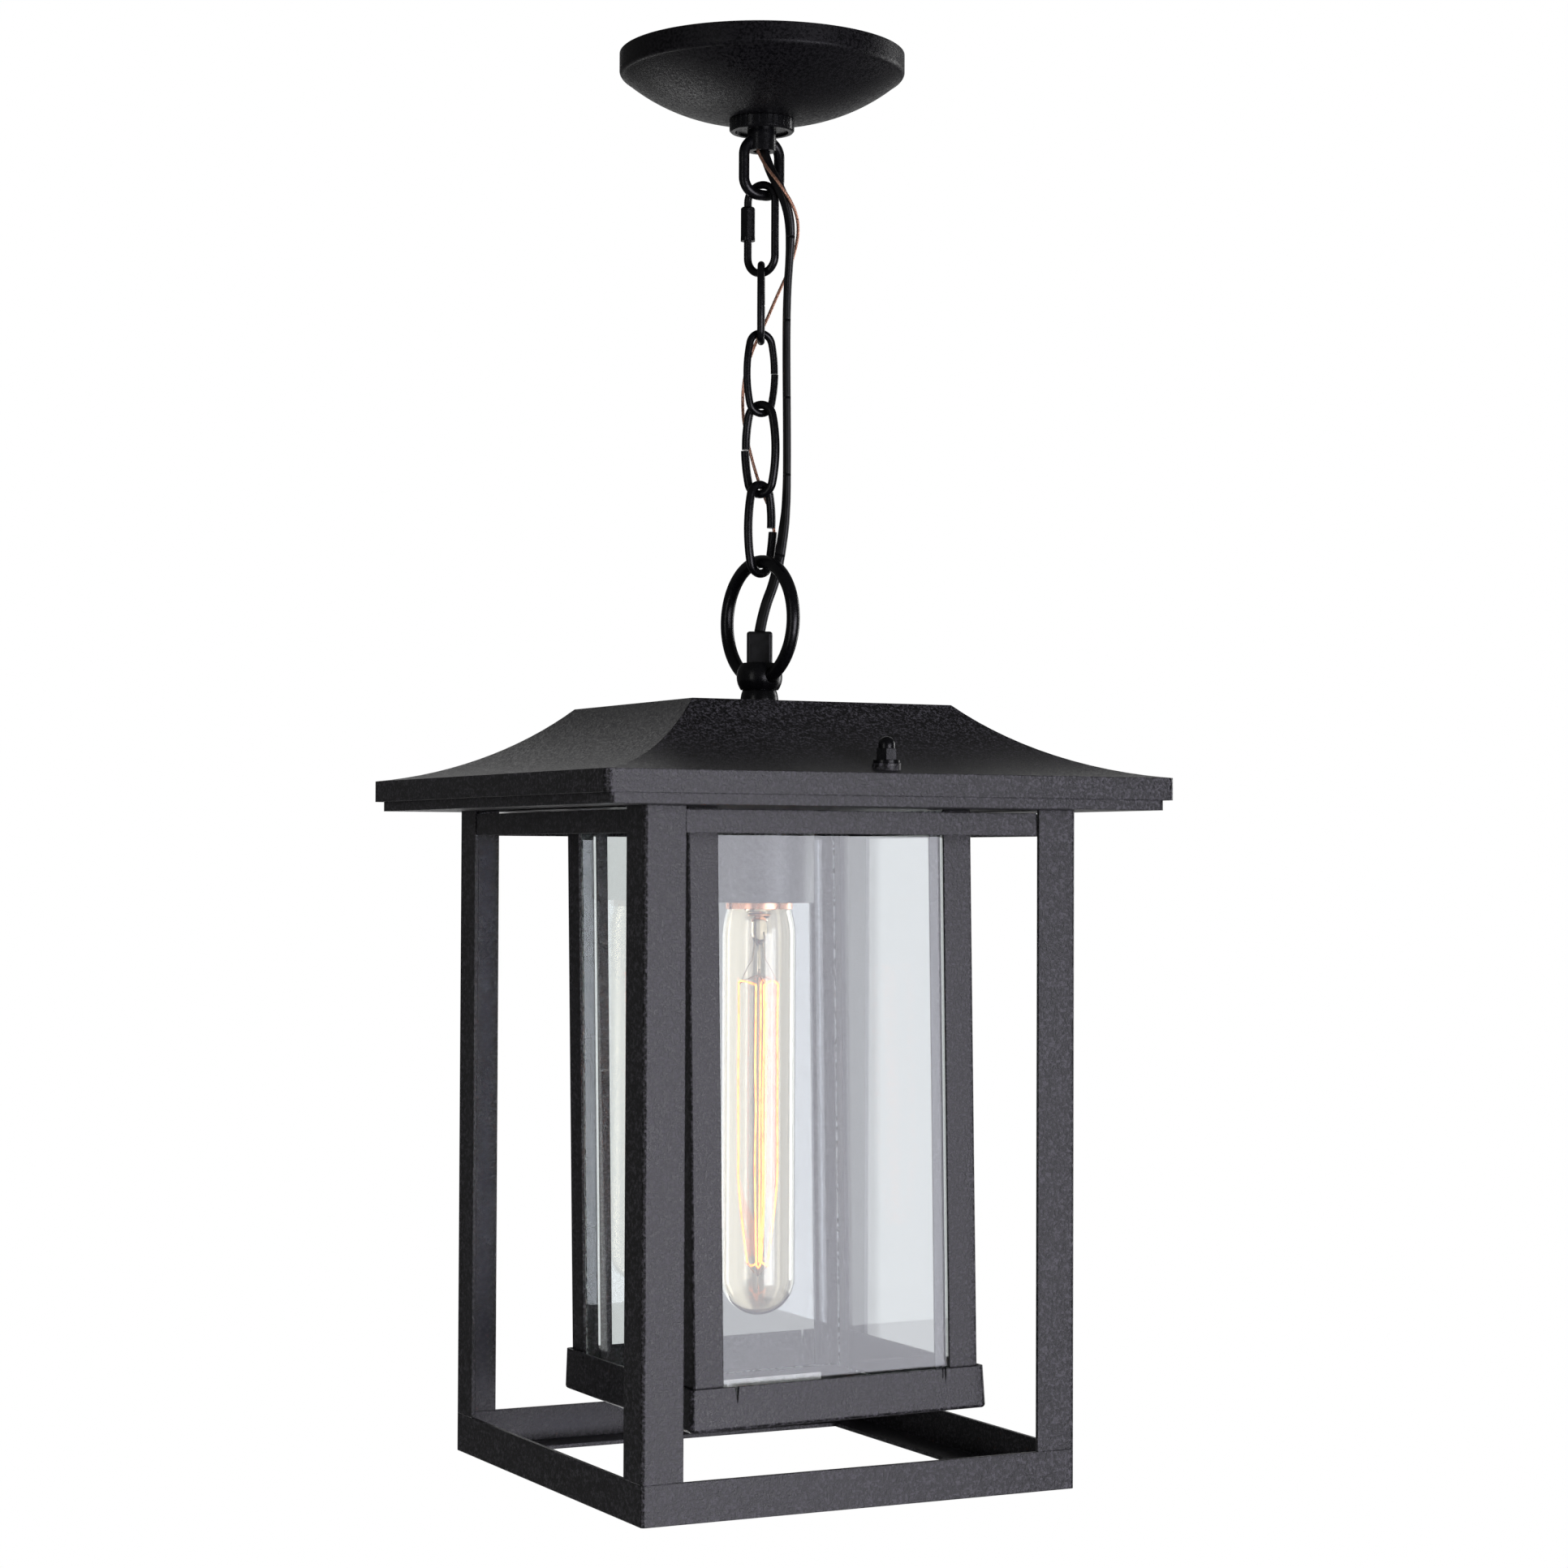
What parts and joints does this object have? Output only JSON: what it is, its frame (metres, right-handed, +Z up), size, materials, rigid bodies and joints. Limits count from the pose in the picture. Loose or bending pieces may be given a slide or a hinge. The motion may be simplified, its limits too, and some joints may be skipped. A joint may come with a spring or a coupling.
{
  "type": "hanging lantern",
  "caption": "Square hanging lantern with a flared hip roof, glass cage in an open angle frame, lamp, chain, canopy and cords",
  "frame": {"origin": "middle of the ceiling plane, on the top face of the crossbar between its two box screw holes", "axes": "+Z up, -Y out of the front side, which carries the front cap nut"},
  "size_m": [0.2346, 0.2346, 0.555],
  "materials": {
    "powder_black": "fine textured black powder coat",
    "chain_black": "smooth satin black",
    "zinc": "zinc plated",
    "ground_green": "green",
    "clear_glass": "clear",
    "lamp_glass": "clear",
    "brass": "satin",
    "glow_wire": "glowing",
    "socket_plastic": "moulded",
    "cord_black": "satin sheath",
    "copper": "bare copper strands"
  },
  "bodies": {
    "mount": {"crossbar": "zinc", "nipple": "zinc", "lock_nut": "zinc", "ground_screw": "ground_green", "canopy_loop": "powder_black", "power_cord_1": "cord_black", "ground_wire_1": "copper"},
    "canopy": {"canopy": "powder_black"},
    "collar_nut": {"collar_nut": "powder_black"},
    "quick_link": {"quick_link": "chain_black", "power_cord_2": "cord_black", "ground_wire_2": "copper"},
    "quick_link_sleeve": {"quick_link_sleeve": "chain_black"},
    "chain_link_1": {"chain_link_1": "chain_black", "power_cord_3": "cord_black", "ground_wire_3": "copper"},
    "chain_link_2": {"chain_link_2": "chain_black", "power_cord_4": "cord_black", "ground_wire_4": "copper"},
    "chain_link_3": {"chain_link_3": "chain_black", "power_cord_5": "cord_black", "ground_wire_5": "copper"},
    "chain_link_4": {"chain_link_4": "chain_black", "power_cord_6": "cord_black", "ground_wire_6": "copper"},
    "hanging_ring": {"hanging_ring": "chain_black"},
    "lantern": {"hub": "powder_black", "hub_nut": "zinc", "strain_relief": "socket_plastic", "roof_shell": "powder_black", "socket_cup": "powder_black", "lamp_socket": "socket_plastic"},
    "cap_nut_front": {"cap_nut_front": "powder_black"},
    "cap_nut_back": {"cap_nut_back": "powder_black"},
    "frame": {"roof_base": "powder_black", "tray": "powder_black", "outer_post_1": "powder_black", "outer_post_2": "powder_black", "outer_post_3": "powder_black", "outer_post_4": "powder_black", "bottom_rail_1": "powder_black", "bottom_rail_2": "powder_black", "bottom_rail_3": "powder_black", "bottom_rail_4": "powder_black", "top_rail_1": "powder_black", "top_rail_2": "powder_black", "top_rail_3": "powder_black", "top_rail_4": "powder_black", "cage_post_1": "powder_black", "cage_post_2": "powder_black", "cage_post_3": "powder_black", "cage_post_4": "powder_black", "glass_pane_1": "clear_glass", "glass_pane_2": "clear_glass", "glass_pane_3": "clear_glass", "glass_pane_4": "clear_glass"},
    "bulb": {"bulb_glass": "lamp_glass", "bulb_base": "brass", "bulb_stem": "lamp_glass", "filament": "glow_wire"}
  },
  "joints": [
    {"name": "canopy_drop", "type": "slide", "parent": "mount", "child": "canopy", "axis": [0, 0, -1], "range_m": [0, 0.012]},
    {"name": "collar_nut_turn", "type": "hinge", "parent": "canopy", "child": "collar_nut", "pos_m": [0, 0, -0.028], "axis": [0, 0, 1], "continuous": true},
    {"name": "quick_link_swing", "type": "hinge", "parent": "mount", "child": "quick_link", "pos_m": [0, 0, -0.0552], "axis": [0.9985, 0.0541, 0], "range_deg": [-20, 20], "deforming": ["power_cord_1", "ground_wire_1"]},
    {"name": "chain_link_1_swing", "type": "hinge", "parent": "quick_link", "child": "chain_link_1", "pos_m": [0, 0, -0.0862], "axis": [0.4924, -0.8704, 0], "range_deg": [-15, 15], "deforming": ["power_cord_2", "ground_wire_2"]},
    {"name": "chain_link_2_swing", "type": "hinge", "parent": "chain_link_1", "child": "chain_link_2", "pos_m": [0, 0, -0.11315], "axis": [0.4617, 0.887, 0], "range_deg": [-15, 15], "deforming": ["power_cord_3", "ground_wire_3"]},
    {"name": "chain_link_3_swing", "type": "hinge", "parent": "chain_link_2", "child": "chain_link_3", "pos_m": [0, 0, -0.1416], "axis": [0.999, 0.0436, 0], "range_deg": [-15, 15], "deforming": ["power_cord_4", "ground_wire_4"]},
    {"name": "chain_link_4_swing", "type": "hinge", "parent": "chain_link_3", "child": "chain_link_4", "pos_m": [0, 0, -0.17345], "axis": [-0.5519, 0.8339, 0], "range_deg": [-15, 15], "deforming": ["power_cord_5", "ground_wire_5"]},
    {"name": "lantern_swing", "type": "hinge", "parent": "chain_link_4", "child": "lantern", "pos_m": [0, 0, -0.20475], "axis": [0.9632, 0.2689, 0], "range_deg": [-20, 20], "deforming": ["power_cord_6", "ground_wire_6"]},
    {"name": "quick_link_sleeve_slide", "type": "slide", "parent": "quick_link", "child": "quick_link_sleeve", "axis": [0, 0, -1], "range_m": [0, 0.005]},
    {"name": "ring_turn", "type": "hinge", "parent": "lantern", "child": "hanging_ring", "pos_m": [0, 0, -0.2234], "axis": [0.9917, 0.1288, 0], "continuous": true},
    {"name": "cap_nut_front_turn", "type": "hinge", "parent": "lantern", "child": "cap_nut_front", "pos_m": [0, -0.1045, -0.278], "axis": [0, 0, 1], "continuous": true},
    {"name": "cap_nut_back_turn", "type": "hinge", "parent": "lantern", "child": "cap_nut_back", "pos_m": [0, 0.1045, -0.278], "axis": [0, 0, 1], "continuous": true},
    {"name": "frame_drop", "type": "slide", "parent": "lantern", "child": "frame", "axis": [0, 0, -1], "range_m": [0, 0.04]},
    {"name": "bulb_unscrew", "type": "slide", "parent": "lantern", "child": "bulb", "axis": [0, 0, -1], "range_m": [0, 0.024]}
  ]
}
